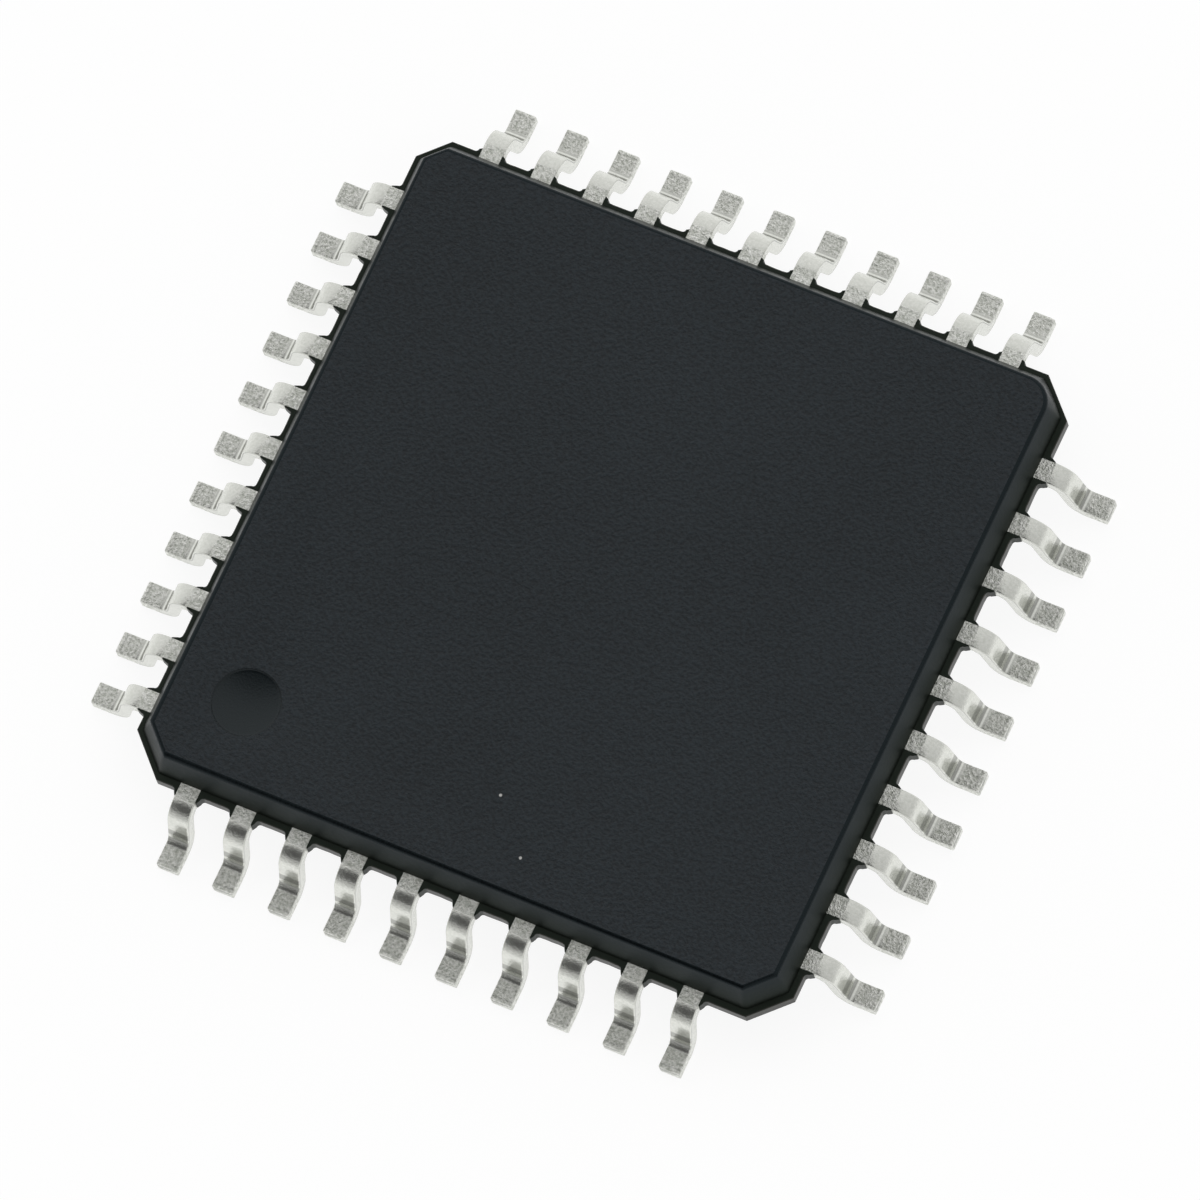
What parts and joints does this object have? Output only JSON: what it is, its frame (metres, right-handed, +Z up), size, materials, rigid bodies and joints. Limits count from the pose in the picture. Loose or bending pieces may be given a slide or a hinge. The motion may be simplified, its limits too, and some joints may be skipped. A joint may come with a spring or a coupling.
{
  "type": "quad flat pack chip",
  "caption": "Square moulded surface-mount chip package with gull-wing leads on all four sides and a round pin-one dimple.",
  "frame": {"origin": "centre of the part's footprint on the seating plane, under the feet", "axes": "+Z up, out of the top face; pin one starts the row that faces -Y, at its -X end, and the pins run on to +X, +Y and -X"},
  "size_m": [0.012, 0.012, 0.0013],
  "materials": {
    "mould_compound": "fine spark-eroded matte black epoxy",
    "lead_finish": "matte tin plating, grainy, with bright coined bends",
    "paddle_copper": "copper alloy leadframe",
    "attach_epoxy": "silver-filled adhesive",
    "silicon": "polished silicon",
    "wire_gold": "drawn gold wire"
  },
  "bodies": {
    "root": {"package_body": "mould_compound", "die_paddle": "paddle_copper", "die_attach": "attach_epoxy", "die": "silicon", "bond_wires": "wire_gold", "lead_01": "lead_finish", "lead_02": "lead_finish", "lead_03": "lead_finish", "lead_04": "lead_finish", "lead_05": "lead_finish", "lead_06": "lead_finish", "lead_07": "lead_finish", "lead_08": "lead_finish", "lead_09": "lead_finish", "lead_10": "lead_finish", "lead_11": "lead_finish", "lead_12": "lead_finish", "lead_13": "lead_finish", "lead_14": "lead_finish", "lead_15": "lead_finish", "lead_16": "lead_finish", "lead_17": "lead_finish", "lead_18": "lead_finish", "lead_19": "lead_finish", "lead_20": "lead_finish", "lead_21": "lead_finish", "lead_22": "lead_finish", "lead_23": "lead_finish", "lead_24": "lead_finish", "lead_25": "lead_finish", "lead_26": "lead_finish", "lead_27": "lead_finish", "lead_28": "lead_finish", "lead_29": "lead_finish", "lead_30": "lead_finish", "lead_31": "lead_finish", "lead_32": "lead_finish", "lead_33": "lead_finish", "lead_34": "lead_finish", "lead_35": "lead_finish", "lead_36": "lead_finish", "lead_37": "lead_finish", "lead_38": "lead_finish", "lead_39": "lead_finish", "lead_40": "lead_finish", "lead_41": "lead_finish", "lead_42": "lead_finish"}
  },
  "joints": []
}
